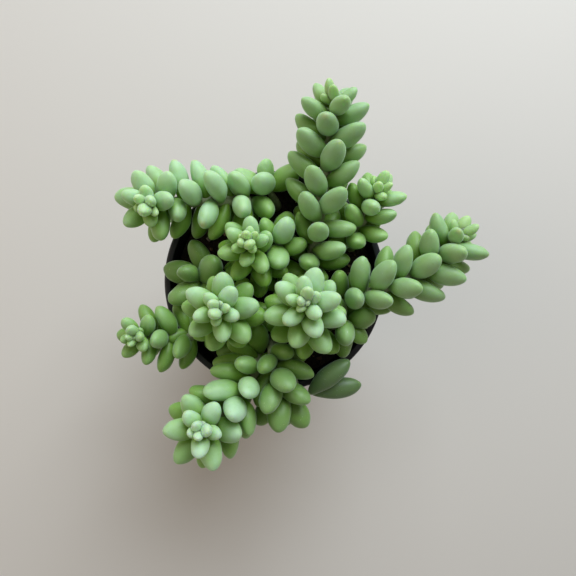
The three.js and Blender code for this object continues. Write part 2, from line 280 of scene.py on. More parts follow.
plastic = make_plastic()
print("made", plastic.name)

# %% [markdown]
# ## Half of the pot's section
# The pot is moulded thin, with a rolled rim that stiffens it and a ledge where stacked
# pots stop. Straight lines with a bevel would do; here the outline already carries the
# rim's roll as short arcs, which gives a clean mesh of quads when it is spun. A few
# tenths of a millimetre ease the corners, because nothing moulded is knife sharp.

# %% Outline of the pot
foot_inset = 1.4
foot_round = 1.0
rim_round = 0.75
small_round = 0.5
lip = 0.95
low_wall = (12, 24, 36)
high_wall = 53
easing = 0.6


def arc(centre, radius, start, end, points):
    """Points of an arc in the (radius, height) plane, angles in degrees."""
    angles = [math.radians(start + (end - start) * k / (points - 1)) for k in range(points)]
    return [(centre[0] + radius * math.cos(a), centre[1] + radius * math.sin(a)) for a in angles]


def pot_outline():
    """(radius, height) points from the middle of the underside round to the floor's middle."""
    def outer(height):
        return float(wall_radius(height))
    points = [(0, 0), (base_radius - foot_inset, 0)]
    points += arc((base_radius - foot_round, foot_round), foot_round, -90, 0, 5)
    points += [(outer(h), h) for h in (*low_wall, step_height - 0.4)]
    points += [(outer(step_end) - 0.1, step_end), (outer(high_wall), high_wall)]
    points += [(outer(rim_foot) - 0.15, rim_foot + 0.05)]
    points += arc((rim_radius - small_round, rim_foot + small_round), small_round, -90, 0, 4)
    points += arc((rim_radius - rim_round, pot_height - rim_round), rim_round, 0, 90, 6)
    points += arc((rim_radius - rim_round - lip, pot_height - small_round), small_round, 90, 150, 4)
    points += [(inner_radius(rim_foot) + 0.1, rim_foot - easing)]
    points += [(inner_radius(h), h) for h in (high_wall, step_end, step_height - easing)]
    points += [(inner_radius(h), h) for h in (*reversed(low_wall), floor_thickness + easing)]
    points += [(inner_radius(floor_thickness) - easing, floor_thickness), (0, floor_thickness)]
    return points


print("points in the pot's outline:", len(pot_outline()))

# %% [markdown]
# ## Spinning an outline
# Round things are made like on a potter's wheel: the half section is turned about the
# upright axis. The Screw modifier does the same; the spin operator is used because its
# seam can be merged at once. Points on the axis fall together and are merged, too, and
# the faces are then turned outwards.

# %% A spun solid
merge_within = 1e-4


def spun(outline, steps):
    """A solid turned round the upright axis from (radius, height) points in a closed round."""
    bm = bmesh.new()
    verts = [bm.verts.new((radius, 0, height)) for radius, height in outline]
    edges = [bm.edges.new(pair) for pair in zip(verts, verts[1:])]
    bmesh.ops.spin(bm, geom=verts + edges, cent=(0, 0, 0), axis=(0, 0, 1),
                   angle=2 * math.pi, steps=steps, use_merge=True)
    bmesh.ops.remove_doubles(bm, verts=bm.verts, dist=merge_within)
    bmesh.ops.recalc_face_normals(bm, faces=bm.faces)
    return bm


pot_steps = 128
pot = finished("pot_moulding", spun(pot_outline(), pot_steps), plastic)
print("faces of the spun pot:", len(pot.data.polygons))

# %% [markdown]
# ## Drainage holes
# Water leaves through a ring of holes in the floor. They could be modelled into the
# floor's faces, but cutting them with round rods is how the punch does it, and a Boolean
# modifier that is applied at once leaves clean round edges.

# %% Punch the holes
rod_length = 6
rod_sides = 32


def punch_holes():
    """Cuts the six drainage holes into the pot's floor."""
    rods = bmesh.new()
    for k in range(drain_holes):
        angle = (k + 0.5) * 2 * math.pi / drain_holes
        place = Vector((math.cos(angle), math.sin(angle), 0)) * drain_circle
        bmesh.ops.create_cone(rods, cap_ends=True, segments=rod_sides, radius1=drain_radius,
                              radius2=drain_radius, depth=rod_length,
                              matrix=Matrix.Translation(place))
    punch = finished("punch", rods, plastic)
    cut = pot.modifiers.new("drainage", "BOOLEAN")
    cut.operation = "DIFFERENCE"
    cut.object = punch
    cut.solver = "EXACT"
    bpy.context.view_layer.objects.active = pot
    bpy.ops.object.modifier_apply(modifier=cut.name)
    bpy.data.objects.remove(punch)


punch_holes()
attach(pot, "root")
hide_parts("pot")
print("pot faces with", drain_holes, "holes:", len(pot.data.polygons))

# %% [markdown]
# ## Potting mix
# Fresh potting mix is nearly black where it is damp, with bark fibres, a few tan chips
# and pale grit. Its relief is real here: a finely divided top is pushed up and down by
# fractal noise, and loose crumbs lie on it, because a bump alone would leave the edge
# against the pot dead straight.

# %% Damp mix
def make_soil_material():
    """Nearly black lumps with brown fibres between them."""
    material, tree, shader = new_material("damp potting mix")
    lumps = speckle(tree, 1.6, 6, 0.7)
    fibres = speckle(tree, 0.35, 3, 0.6, 2.0)
    dark = blend(tree, ramp(tree, lumps, 0.35, 0.7), srgb(20, 15, 12), srgb(58, 44, 34))
    colour = blend(tree, ramp(tree, fibres, 0.58, 0.75, 0.0, 0.6), dark, srgb(104, 82, 62))
    feed(tree, shader, "Base Color", colour)
    feed(tree, shader, "Roughness", 0.95)
    rough_surface(tree, shader, times(tree, lumps, fibres, "ADD"), 0.8, 0.3)
    return material


damp_mix = make_soil_material()
print("made", damp_mix.name)

# %% Bark, chips and grit
def make_crumb_material():
    """Each crumb's own tint makes it dark bark, a tan chip or pale grit."""
    material, tree, shader = new_material("bark crumbs and grit")
    tint = attribute(tree, "tint")
    bark = blend(tree, ramp(tree, tint, 0.0, 0.75), srgb(26, 19, 15), srgb(84, 62, 46))
    chips = blend(tree, ramp(tree, tint, 0.78, 0.86), bark, srgb(150, 122, 98))
    grit = blend(tree, ramp(tree, tint, 0.93, 0.96), chips, srgb(176, 168, 158))
    grain = ramp(tree, speckle(tree, 0.3, 3), 0.3, 0.8, 0.75, 1.2)
    feed(tree, shader, "Base Color", grit)
    feed(tree, shader, "Roughness", 0.9)
    rough_surface(tree, shader, grain, 0.6, 0.12)
    return material


crumb_mix = make_crumb_material()
print("made", crumb_mix.name)

# %% [markdown]
# ## Filling the pot
# The mix fills the pot to a few millimetres under its rim. It could be a flat disc, but
# the real top is lumpy and sinks a little where it meets the wall. The same spin as the
# pot's makes a disc with many fine rings, and its top is then lifted by two noises.

# %% The soil's top
soil_top = 57
soil_gap = 0.35
soil_relief = 0.9
lump_height = 0.45


def soil_height(x, y):
    """The top of the soil in millimetres at a place, lower and lumpier than a plane."""
    edge = math.hypot(x, y) / wall_top_radius
    waves = math.sin(x * 0.55 + 1.3) * math.cos(y * 0.48) + 0.5 * math.sin(x * 1.1 - y * 0.9)
    swell = soil_relief * waves / 1.5 * (1 - edge ** 4)
    lumps = noise.fractal(Vector((x, y, 3)) * 0.45, 0.8, 2.1, 5)
    return soil_top + swell + lump_height * lumps * (1 - 0.6 * edge ** 6)


print("soil height in the middle in mm:", round(soil_height(0, 0), 2))

# %% Soil body
soil_rings = 64
soil_steps = 160


def make_soil():
    """The filling of the pot, with a top of fine rings that follow soil_height."""
    def fit(height):
        return inner_radius(height) - soil_gap
    bottom = floor_thickness + soil_gap
    edge = fit(soil_top)
    outline = [(0, bottom), (fit(bottom) - 1, bottom), (fit(bottom + 1), bottom + 1)]
    outline += [(fit(step_height), step_height), (fit(step_end), step_end), (edge, soil_top - 1)]
    outline += [(edge * (1 - k / soil_rings), soil_top) for k in range(soil_rings)]
    outline += [(0, soil_top)]
    bm = spun(outline, soil_steps)
    for vert in bm.verts:
        if vert.co.z > soil_top - 0.5:
            vert.co.z = soil_height(vert.co.x, vert.co.y)
    return finished("potting_mix", bm, damp_mix)


soil = make_soil()
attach(soil, "root")
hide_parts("soil")
print("soil faces:", len(soil.data.polygons))

# %% [markdown]
# ## Chance that repeats
# Crumbs and leaves need chance, but the plant has to come out the same on every run and
# the same as its solids. Python's own random numbers would do the first; a plain
# multiply-and-divide stream is used because the tool that drew the solids can run it too.
# The noise that roughens crumbs and leaves is shifted by the clock unless it gets a seed.

# %% Random draws
multiplier = 16807
modulus = 2147483647
noise.seed_set(1)


def draws_from(seed):
    """A stream of even random numbers from 0 to 1 that is the same on every run."""
    state = seed
    while True:
        state = state * multiplier % modulus
        yield state / modulus


print("the first random numbers of seed 1:", [round(n, 3) for n, _ in zip(draws_from(1), range(3))])

# %% [markdown]
# ## Loose crumbs
# Bark crumbs, a few tan chips and pale grit lie on the mix and are what the eye catches
# between the leaves. Hair or geometry nodes could scatter them; a seeded loop that adds
# an icosphere of twenty faces for each crumb, squashes it and turns it is enough, and
# each crumb keeps a tint of its own as an attribute that the material reads.

# %% Scatter the crumbs
crumbs = 1100
smallest_crumb = 0.28
largest_extra = 0.75
outward_pull = 0.42
crumb_lean = 0.7
slimmest, flattest, size_spread = 0.55, 0.4, 0.4
perch = 0.12
ruggedness = 1.7
raggedness = 0.28


def make_crumbs():
    """Squashed and turned little stones, mostly small and mostly towards the wall."""
    draw = draws_from(4711)
    bm = bmesh.new()
    tint = bm.verts.layers.float.new("tint")
    reach = inner_radius(soil_top) - 1.0
    for _ in range(crumbs):
        distance = reach * next(draw) ** outward_pull
        bearing = 2 * math.pi * next(draw)
        size = smallest_crumb + largest_extra * next(draw) ** 4
        x, y = distance * math.cos(bearing), distance * math.sin(bearing)
        turn = Matrix.Rotation(2 * math.pi * next(draw), 4, "Z")
        tilt = Matrix.Rotation(crumb_lean * next(draw), 4, "X")
        squash = Matrix.Diagonal((1, slimmest + size_spread * next(draw),
                                  flattest + size_spread * next(draw), 1))
        place = Matrix.Translation((x, y, soil_height(x, y) + perch))
        made = bmesh.ops.create_icosphere(bm, subdivisions=1, radius=size,
                                          matrix=place @ turn @ tilt @ squash)
        shade = next(draw)
        for vert in made["verts"]:
            vert[tint] = shade
            vert.co += noise.noise_vector(vert.co * ruggedness) * raggedness * size
    return finished("bark_crumbs", bm, crumb_mix)


loose = make_crumbs()
for face in loose.data.polygons:
    face.use_smooth = False
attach(loose, "root")
print("crumbs:", crumbs, "with", len(loose.data.polygons), "faces")

# %% [markdown]
# ## The stems
# Each stem rises from the soil along a smooth curve. The three in the middle stand up and
# show their tips, the long ones arch out over the rim and turn up again at the end, and a
# few old ones stay low. A stem is described by where it stands, two pull points of its
# curve and its tip, then by how many leaves it carries, their full length and how its
# spiral starts and winds. Drawing every leaf would need thousands of numbers; this needs
# a few for each stem, and the habits below are shared by several.

# %% Habits of growth
# spacing along the stem, leaves until full size, angle at the tip and when full grown,
# leaves until open; then the half widths of the extra buds at the tip, their angles, and
# how far they reach past their widest place
upright = dict(spacing=1.15, growth=7.5, tip_angle=14, spread=92, opening=9,
               buds=(1.95, 1.75, 1.55, 1.35), bud_angles=(28, 36, 44, 52), bud_cap=1.05)
arching = dict(spacing=1.5, growth=6, tip_angle=12, spread=68, opening=6,
               buds=(2.2, 2.0, 1.8, 1.6), bud_angles=(34, 46, 58, 70), bud_cap=1.3)
fanned = dict(spacing=1.5, growth=5.6, tip_angle=14, spread=84, opening=4,
              buds=(2.1, 1.8, 1.55, 1.35), bud_angles=(30, 38, 46, 54), bud_cap=1.1)
old_shoot = dict(spacing=1.6, growth=1, tip_angle=30, spread=76, opening=5)
print("leaves stand", [habit["spacing"] for habit in (upright, arching, fanned, old_shoot)], "mm apart")

# %% [markdown]
# ## The stems' places
# Three stems stand up in the middle, six hang over the rim and six short shoots fill the
# gaps. Curves drawn by hand in the viewport would show the same; written as numbers they
# are those of the solids. Angles are in degrees and lengths in millimetres, hand is the
# way a spiral winds and draw is the seed of its chance.

# %% Every stem of the plant
stems = [
    dict(name="stem_centre_right", habit=upright, foot=(11, -16), tip=(8.8, -5.8, 88),
         pulls=((10.5, -15, 67), (9.3, -8, 78)),
         leaves=29, length=13, bearing=350, hand=1, draw=42),
    dict(name="stem_centre_left", habit=upright, foot=(-13, -12), tip=(-13.9, -8, 86),
         pulls=((-12.5, -12, 67), (-15, -8.7, 76)),
         leaves=27, length=13, bearing=300, hand=-1, draw=34),
    dict(name="stem_centre_back", habit=upright, foot=(-4, 5), tip=(-6.6, 10.3, 82),
         pulls=((-4.5, 5, 66), (-6.8, 9.8, 74)),
         leaves=24, length=11.2, bearing=264, hand=1, draw=22),
    dict(name="stem_front_left", habit=fanned, foot=(-5.5, -21), tip=(-18.8, -40, 84),
         pulls=((-2, -31, 88), (-22.7, -47.3, 56)),
         leaves=40, length=13, bearing=300, hand=1, draw=63),
    dict(name="stem_back_left", habit=fanned, foot=(-6, 26), tip=(-33.7, 20.5, 82),
         pulls=((-9.5, 21.5, 84), (-38.2, 25.5, 58)),
         leaves=40, length=12.2, bearing=110, hand=-1, draw=11),
    dict(name="stem_left", habit=fanned, foot=(-22.5, -17.5), tip=(-39.7, -16, 74),
         pulls=((-24, -16.5, 76), (-40.7, -18.5, 58)),
         leaves=26, length=10.8, bearing=150, hand=1, draw=53),
    dict(name="stem_right", habit=arching, foot=(19.5, -5.5), tip=(52.9, 13, 76),
         pulls=((24, -7, 84), (46.5, 2.5, 66)),
         leaves=42, length=12.4, bearing=50, hand=-1, draw=95),
    dict(name="stem_back", habit=arching, foot=(10.5, 1.5), tip=(17.2, 49.6, 80),
         pulls=((13, 11, 80), (16, 39.3, 68)),
         leaves=45, length=12.4, bearing=320, hand=1, draw=71),
    dict(name="stem_back_right", habit=arching, foot=(25, 11), tip=(30, 26.3, 74),
         pulls=((24, 14.5, 70), (29, 21.5, 66)),
         leaves=24, length=11.2, bearing=230, hand=1, draw=83),
    dict(name="shoot_middle", habit=old_shoot, foot=(-0.5, -18), tip=(3, -36.5, 66),
         pulls=((-0.5, -21, 72), (0.5, -29, 74)),
         leaves=17, length=12, bearing=0, hand=1, draw=131),
    dict(name="shoot_front_right", habit=old_shoot, foot=(5, -26), tip=(12, -34, 66.5),
         pulls=((5, -30, 69), (6, -36, 70)),
         leaves=4, length=16, bearing=240, hand=1, draw=101),
    dict(name="shoot_back", habit=old_shoot, foot=(0.5, 24.5), tip=(-2.5, 29.5, 66),
         pulls=((0.5, 25, 61), (-1, 27.5, 64)),
         leaves=5, length=11.5, bearing=0, hand=1, draw=111),
    dict(name="shoot_centre", habit=old_shoot, foot=(4, 2.5), tip=(1, 12, 71),
         pulls=((4, 3, 62), (2, 8, 66)),
         leaves=7, length=11, bearing=40, hand=1, draw=141),
    dict(name="shoot_right", habit=old_shoot, foot=(18, -14), tip=(23, -13, 69),
         pulls=((18, -14, 61), (21, -13.5, 65)),
         leaves=6, length=11, bearing=100, hand=-1, draw=151),
    dict(name="shoot_left", habit=old_shoot, foot=(-17.5, 2), tip=(-23.5, 0, 66),
         pulls=((-18, 2, 60), (-21.5, 1, 64)),
         leaves=8, length=12.4, bearing=0, hand=1, draw=121),
]
print("stems:", len(stems))

# %% [markdown]
# ## Age, bloom and painted shade of each stem
# Old shoots low in the plant turn dull, and 1 is the dullest; on stem_right and stem_back
# the same dullness is painted shade. Bloom, the pale powder, is thicker on some stems than
# on others, and the thinner bloom of stem_right, stem_back and stem_back_right is painted
# shade too. Each stem could have a material of its own; two numbers that its leaves carry
# let one material serve them all.

# %% Dullness, bloom and painted shade
# Dullness of old shoots; on stem_right and stem_back it darkens the leaves as painted shade.
dullness_and_shade = dict(shoot_front_right=1, shoot_left=0.5, shoot_middle=0.4, shoot_right=0.3,
                stem_right=0.25, stem_back=0.25, stem_left=0.15)
# Bloom of each stem; the low bloom of stem_right, stem_back and stem_back_right is painted shade.
bloom_and_shade = dict(stem_front_left=1.3, stem_left=1.1, stem_back_left=0.9, stem_centre_back=0.8,
             stem_right=0.75, stem_back=0.8, stem_back_right=0.7, shoot_middle=0.6,
             shoot_front_right=0.4)
print("dull stems:", len(dullness_and_shade), "; stems with more or less bloom:", len(bloom_and_shade))

# %% [markdown]
# ## A stem's curve
# A Bezier curve with two pull points bends the way a heavy stem does. Its points run from
# the tip down to the soil, because leaves are counted from the youngest, and each point
# carries the stem's direction and a cross direction that is handed on from point to point
# so that the spiral of leaves never jumps.

# %% Centrelines
curve_steps = 120


def unit(vectors):
    """The vectors with their length made 1."""
    return vectors / np.linalg.norm(vectors, axis=-1, keepdims=True)


def centreline(stem):
    """Points of a stem from its tip to the soil, with lengths and two directions at each."""
    foot = np.array([*stem["foot"], soil_top], float)
    low, high = np.array(stem["pulls"], float)
    t = 1 - np.arange(curve_steps + 1)[:, None] / curve_steps
    points = ((1 - t) ** 3 * foot + 3 * (1 - t) ** 2 * t * low
              + 3 * (1 - t) * t ** 2 * high + t ** 3 * np.array(stem["tip"], float))
    steps = np.linalg.norm(np.diff(points, axis=0), axis=1)
    lengths = np.concatenate(([0], np.cumsum(steps)))
    before = np.concatenate((points[:1], points[:-1]))
    after = np.concatenate((points[1:], points[-1:]))
    along = unit(before - after)
    across = []
    side = np.array((1.0, 0, 0))
    for direction in along:
        side = unit(side - direction * (side @ direction))
        across.append(side)
    return dict(points=points, lengths=lengths, along=along, across=np.array(across))


lines = [centreline(stem) for stem in stems]
print("stem lengths in mm:", [round(line["lengths"][-1]) for line in lines])

# %% [markdown]
# ## The spiral of leaves
# Every new leaf of a stonecrop stands 137.5 degrees round from the last one, the golden
# angle, which packs them without rows. From the tip downwards the leaves grow, open
# outwards and stand further apart. Instancing along a curve could do this too, but the
# leaves have to lean away from each other afterwards, so they are kept as plain numbers.

# %% Leaves of one stem
bare_foot = 4
golden_angle = 137.50776
plumpness = 0.52
bud_plumpness = 0.22
bud_share = 0.18
growth_pace = 1.5
rounded_buds = 5
crowded_buds = 6
bearing_play = 14
angle_play = 10
length_play = 0.12


def leaves_of(index):
    """The leaves of a stem from its tip down, each with root, size and directions."""
    stem, line = stems[index], lines[index]
    habit = stem["habit"]
    draw = draws_from(stem["draw"])
    lengths = line["lengths"]
    travelled, step = 0.0, 0
    made = []
    for k in range(stem["leaves"]):
        if travelled >= lengths[-1] - bare_foot:
            break
        while step < curve_steps - 1 and lengths[step + 1] < travelled:
            step += 1
        part = min(1, (travelled - lengths[step]) / (lengths[step + 1] - lengths[step]))
        root = line["points"][step] * (1 - part) + line["points"][step + 1] * part
        along, across = line["along"][step], line["across"][step]
        turn = stem["bearing"] + stem["hand"] * golden_angle * k + (next(draw) - 0.5) * bearing_play
        opened = 1 - math.exp(-k / habit["opening"])
        angle = habit["tip_angle"] + (habit["spread"] - habit["tip_angle"]) * opened
        angle = math.radians(angle + (next(draw) - 0.5) * angle_play)
        grown = 1 - (1 - bud_share) * math.exp(-(k / habit["growth"]) ** growth_pace)
        length = stem["length"] * grown * (1 + length_play * (next(draw) - 0.5))
        width = length * (plumpness + bud_plumpness * math.exp(-k / rounded_buds))
        turn = math.radians(turn)
        outward = across * math.cos(turn) + np.cross(along, across) * math.sin(turn)
        made.append(dict(
            stem=index, rank=k, root=root, length=length, radius=width / 2,
            direction=along * math.cos(angle) + outward * math.sin(angle),
            upper=along * math.sin(angle) - outward * math.cos(angle)))
        travelled += habit["spacing"] * (1 - math.exp(-(k + 1) / crowded_buds))
    return made


leaves = [leaf for index in range(len(stems)) for leaf in leaves_of(index)]
print("leaves:", len(leaves))

# %% [markdown]
# ## Leaves as lists of numbers
# Three hundred leaves that push each other are quicker to work out all at once than one
# by one. So their values are laid side by side in arrays, one row for each leaf, instead
# of in a loop over objects.

# %% One row for each leaf
of_stem = np.array([leaf["stem"] for leaf in leaves])
root = np.array([leaf["root"] for leaf in leaves])
direction = np.array([leaf["direction"] for leaf in leaves])
upper = np.array([leaf["upper"] for leaf in leaves])
length = np.array([leaf["length"] for leaf in leaves])
radius = np.array([leaf["radius"] for leaf in leaves])
rank = np.array([leaf["rank"] for leaf in leaves])
print("full-grown leaves are", round(float(length.max()), 1), "mm long at most")

# %% [markdown]
# ## The outline of a leaf
# A leaf is narrow where it joins the stem, widest just past its middle and blunt at its
# end. A curve could be drawn for it; one short function says the same, and both the
# crowding of the leaves and their final shape read it.

# %% Half width along a leaf
widest = 0.52
root_width = 0.26
swelling = 0.95
end_curve = 2.2
leaf_bend = 0.14


def leaf_outline(t, bluntness=0.7):
    """Half width at t from 0 at the root to 1 at the tip; it is 1 at the widest place."""
    t = np.asarray(t, float)
    rising = np.sin(np.pi / 2 * np.minimum(t / widest, 1)) ** swelling
    k = np.clip((t - widest) / (1 - widest), 0, 1)
    return np.where(t < widest, root_width + (1 - root_width) * rising,
                    np.maximum(0, 1 - k ** end_curve) ** bluntness)


def middle_of(t):
    """Points of every leaf's middle line at t, which curves up towards the stem's tip."""
    forward = direction * (length * t)[:, None]
    return root + forward + upper * (length * leaf_bend * t * t)[:, None]


print("half width at a tenth of the length:", round(float(leaf_outline(0.1)), 2))

# %% [markdown]
# ## Leaves lean on each other
# On the real plant the leaves share the room: neighbours press together and leaves of two
# stems push each other aside. A physics simulation would work but is slow and hard to
# repeat exactly. Here every leaf is felt at five stations as balls of its own width. First
# the balls, and which pairs of leaves are near enough to meet at all.

# %% Balls along every leaf
stations = np.array((0.32, 0.5, 0.66, 0.82, 0.93))
near_root = 0.45
ball_share = 0.95
pair_margin = 2
no_less = 1e-9

first, second = np.triu_indices(len(leaves), 1)
near = (np.linalg.norm(root[first] - root[second], axis=1)
        < length[first] + length[second] + pair_margin)
first, second = first[near], second[near]
together = (of_stem[first] == of_stem[second])[:, None, None]
too_low = (stations[:, None] < near_root) | (stations[None, :] < near_root)


def feel():
    """Centres and radii of the balls at every leaf's stations."""
    centres = np.stack([middle_of(t) for t in stations], axis=1)
    return centres, radius[:, None] * leaf_outline(stations) * ball_share


print("pairs of leaves that may meet:", len(first))

# %% [markdown]
# ## How leaves push leaves
# Two balls that overlap push their leaves apart along the line between them. Leaves of
# one stem are allowed to touch, and their roots to sink into each other, as real ones do;
# leaves of two stems keep a small gap, because they belong to separate solids.

# %% Pushes between leaves
apart = 0.4
sharing = 1.06
give = 0.3


def pushes_of_leaves(centres, radii):
    """How every leaf's outer end is pushed by the other leaves."""
    difference = centres[first][:, :, None] - centres[second][:, None]
    distance = np.linalg.norm(difference, axis=-1) + no_less
    reach = radii[first][:, :, None] + radii[second][:, None]
    touch = np.where(together, reach * sharing, reach + apart)
    depth = np.where(together & too_low, 0, np.maximum(0, touch - distance) / distance * give)
    moved = difference * depth[..., None]
    push = np.zeros_like(root)
    np.add.at(push, first, np.einsum("pabc,a->pc", moved, stations))
    np.add.at(push, second, -np.einsum("pabc,b->pc", moved, stations))
    return push


crowding = np.linalg.norm(pushes_of_leaves(*feel()), axis=1)
print("leaves pushed by others at first:", int((crowding > 0).sum()))

# %% [markdown]
# ## How the pot and the stems push leaves
# A leaf that meets the rim or the wall is turned off it, one that would dip into the mix
# is lifted, and one in the way of another stem goes round it. These things don't give, so
# their push counts for more than a leaf's.

# %% Pushes of rim, wall, soil and stems
rim_middle = rim_radius - 1
rim_middle_height = pot_height - 1.2
rim_reach = 1.3
stem_radius = 1.8
firm_give = 0.8
curve_stride = 6
stem_points = np.concatenate([line["points"][::curve_stride] for line in lines])
stem_point_owner = np.repeat(np.arange(len(stems)), curve_steps // curve_stride + 1)


def push_off(centres, radii, things, clearance):
    """How balls are pushed by points or lines they are too close to."""
    difference = centres - things
    distance = np.linalg.norm(difference, axis=-1) + no_less
    depth = np.maximum(0, radii + clearance - distance) / distance
    return difference * depth[..., None]


def pushes_of_pot(centres, radii):
    """The rim, the wall, the soil and the other stems push the balls, too."""
    reach = np.linalg.norm(centres[..., :2], axis=-1) + no_less
    height = centres[..., 2]
    over = height > rim_foot
    ring = np.where(over, rim_middle, wall_radius(height) - wall / 2)
    thing = centres.copy()
    thing[..., :2] *= (ring / reach)[..., None]
    thing[..., 2] = np.where(over, np.minimum(height, rim_middle_height), height)
    push = push_off(centres, radii, thing, np.where(over, rim_reach + apart, wall / 2 + apart))
    push[..., 2] += np.where(reach < rim_middle, np.maximum(
        0, soil_top + soil_relief + apart + radii - height), 0)
    others = push_off(centres[:, :, None], radii[:, :, None], stem_points, stem_radius + apart)
    others *= (stem_point_owner != of_stem[:, None])[:, None, :, None]
    return np.einsum("lsc,s->lc", push + others.sum(axis=2), stations) * firm_give


crowding = np.linalg.norm(pushes_of_pot(*feel()), axis=1)
print("leaves pushed by pot, soil or stems at first:", int((crowding > 0).sum()))

# %% [markdown]
# ## Let them settle
# A solver could look for the resting place of all leaves at once. Sixty rounds of small
# pushes are simpler: they turn the leaves on their roots until the balls hardly overlap.
# One round moves a leaf's end by little more than a millimetre, so nothing jumps past its
# neighbour.

# %% Turn the leaves until they fit
rounds = 60
furthest_move = 1.2

for _ in range(rounds):
    centres, radii = feel()
    push = pushes_of_leaves(centres, radii) + pushes_of_pot(centres, radii)
    size = np.linalg.norm(push, axis=1, keepdims=True)
    push *= np.minimum(1, furthest_move / np.maximum(size, no_less))
    direction = unit(direction * length[:, None] + push)
    upper = unit(upper - direction * np.sum(upper * direction, axis=1, keepdims=True))
print("largest push left in mm:", round(float(size.max()), 2))

# %% [markdown]
# ## Crowded leaves stay small
# Where leaves of two stems still press on each other, the plant grows them a little
# smaller. Cutting one leaf with the other would leave flat faces. They are made smaller
# here, too, a few hundredths at a time, until leaves of two stems are clear of each other.

# %% Slim the pressed leaves
slimmings = 20
slimmer = 0.96
least_gap = 0.15


def least_gaps(centres, radii):
    """The narrowest gap between the balls of each pair of leaves."""
    difference = centres[first][:, :, None] - centres[second][:, None]
    reach = radii[first][:, :, None] + radii[second][:, None]
    return (np.linalg.norm(difference, axis=-1) - reach).min(axis=(1, 2))


strangers = of_stem[first] != of_stem[second]
for _ in range(slimmings):
    pressed = strangers & (least_gaps(*feel()) < least_gap)
    tight = np.unique(np.concatenate((first[pressed], second[pressed])))
    length[tight] *= slimmer
    radius[tight] *= slimmer
print("leaves from", round(float(length.min()), 1), "to", round(float(length.max()), 1), "mm long")

# %% [markdown]
# ## Full tips on the long stems
# The tips of the arching stems end in a wide tuft: the leaves just behind the tip are
# longer than the even rule gives. Each could be pulled by hand; one smooth hump over their
# ranks draws out all of them, the fourth leaf most, and less towards the tip and down the
# stem.

# %% Draw out the leaves behind a tip
longer, thicker = 0.34, 0.14
longest_rank, rank_reach = 4, 3.2

on_arch = np.array([stems[number]["habit"] is arching for number in of_stem])
drawn_out = np.where(on_arch, np.exp(-((rank - longest_rank) / rank_reach) ** 2), 0)
length *= 1 + longer * drawn_out
radius *= 1 + thicker * drawn_out
print("leaves drawn out by over a tenth:", int((longer * drawn_out > 0.1).sum()))

# %% [markdown]
# ## Room for more leaves
# The solids leave out the smallest leaves and those hidden over the soil. Both are added
# below by one test: a new leaf may stand where its own balls find a gap between the balls
# of the others. This helper takes such leaves up into the lists.

# %% Take up more leaves
def with_more(found):
    """All leaves' values with new leaves given as owner, root, direction, length, radius."""
    owners, roots, headings, lengths, radii = (np.array(column) for column in zip(*found))
    tops = np.array([lines[owner]["along"][0] for owner in owners])
    almost_all = 0.999
    tops = unit(tops - headings * (almost_all * np.sum(tops * headings, axis=1, keepdims=True)))
    return (np.append(of_stem, owners), np.concatenate((root, roots)),
            np.concatenate((direction, headings)), np.concatenate((upper, tops)),
            np.append(length, lengths), np.append(radius, radii))


print("leaves that the solids have too:", len(root))

# %% [markdown]
# ## Low leaves in the gaps
# The lower parts of the stems carry more leaves than the solids show, deep in the shade
# over the soil. Placing them by eye would be slow; a seeded draw proposes leaves rooted on
# the stems, and keeps one only where it touches neither the pot, the soil nor any other leaf.
# Few of the proposals find room.

# %% Low leaves
most_low_leaves = 22
trials = 9000
innermost = 25
lowest_root, highest_root = soil_top + 3, 76
least_tilt, most_tilt = -25, 35
shortest, longest = 8.5, 12
allowed_overlap = 0.3


def proposals():
    """Endless leaves rooted on the lower stems, as owner, root, direction and length."""
    draw = draws_from(907)
    inner = ((np.linalg.norm(stem_points[:, :2], axis=1) < innermost)
             & (stem_points[:, 2] > lowest_root) & (stem_points[:, 2] < highest_root))
    places, owners = stem_points[inner], stem_point_owner[inner]
    while True:
        at = int(next(draw) * len(places))
        turn = 2 * math.pi * next(draw)
        tilt = math.radians(least_tilt + (most_tilt - least_tilt) * next(draw))
        size = shortest + (longest - shortest) * next(draw)
        level = math.cos(tilt)
        heading = np.array((math.cos(turn) * level, math.sin(turn) * level, math.sin(tilt)))
        yield owners[at], places[at], heading, size


def low_leaf_draws():
    """The first proposals that fit between everything that is already there."""
    balls, sizes = (values.reshape(-1, *values.shape[2:]) for values in feel())
    kept = []
    for _, (owner, place, heading, size) in zip(range(trials), proposals()):
        half = size * plumpness / 2
        points = place + heading * (size * stations[1:])[:, None]
        widths = half * leaf_outline(stations[1:])
        reach = np.linalg.norm(points[:, :2], axis=1) + widths
        if reach.max() > innermost or (points[:, 2] - widths).min() < soil_top + 1:
            continue
        gaps = np.linalg.norm(points[:, None] - balls, axis=2) - sizes - widths[:, None]
        if gaps.min() < -allowed_overlap:
            continue
        kept.append((owner, place, heading, size, half))
        balls, sizes = np.concatenate((balls, points)), np.concatenate((sizes, widths))
        if len(kept) == most_low_leaves:
            break
    return kept


hidden = low_leaf_draws()
of_stem, root, direction, upper, length, radius = with_more(hidden)
print("low leaves added:", len(hidden))

# %% [markdown]
# ## Buds crowd every tip
# Between the smallest leaves of a growing tip sit more buds than a rule of one leaf after
# another gives. They are too small for the solids and are added here. They could be set
# in place by eye; instead each one goes to the deepest place round the tip that still has
# room for it, the largest bud first, and hardly reaches past the measured plant.

# %% Young buds
bud_turns = np.radians(np.arange(0, 360, 12))
bud_heights = (2.0, 2.4, 2.8, 3.2, 3.6, 4.0)
full_length = 13
bud_depth = 0.6
bud_squeeze = 0.22
proud = 0.8
lowest = np.array(cad_low) / mm - proud
highest = np.array(cad_high) / mm + proud


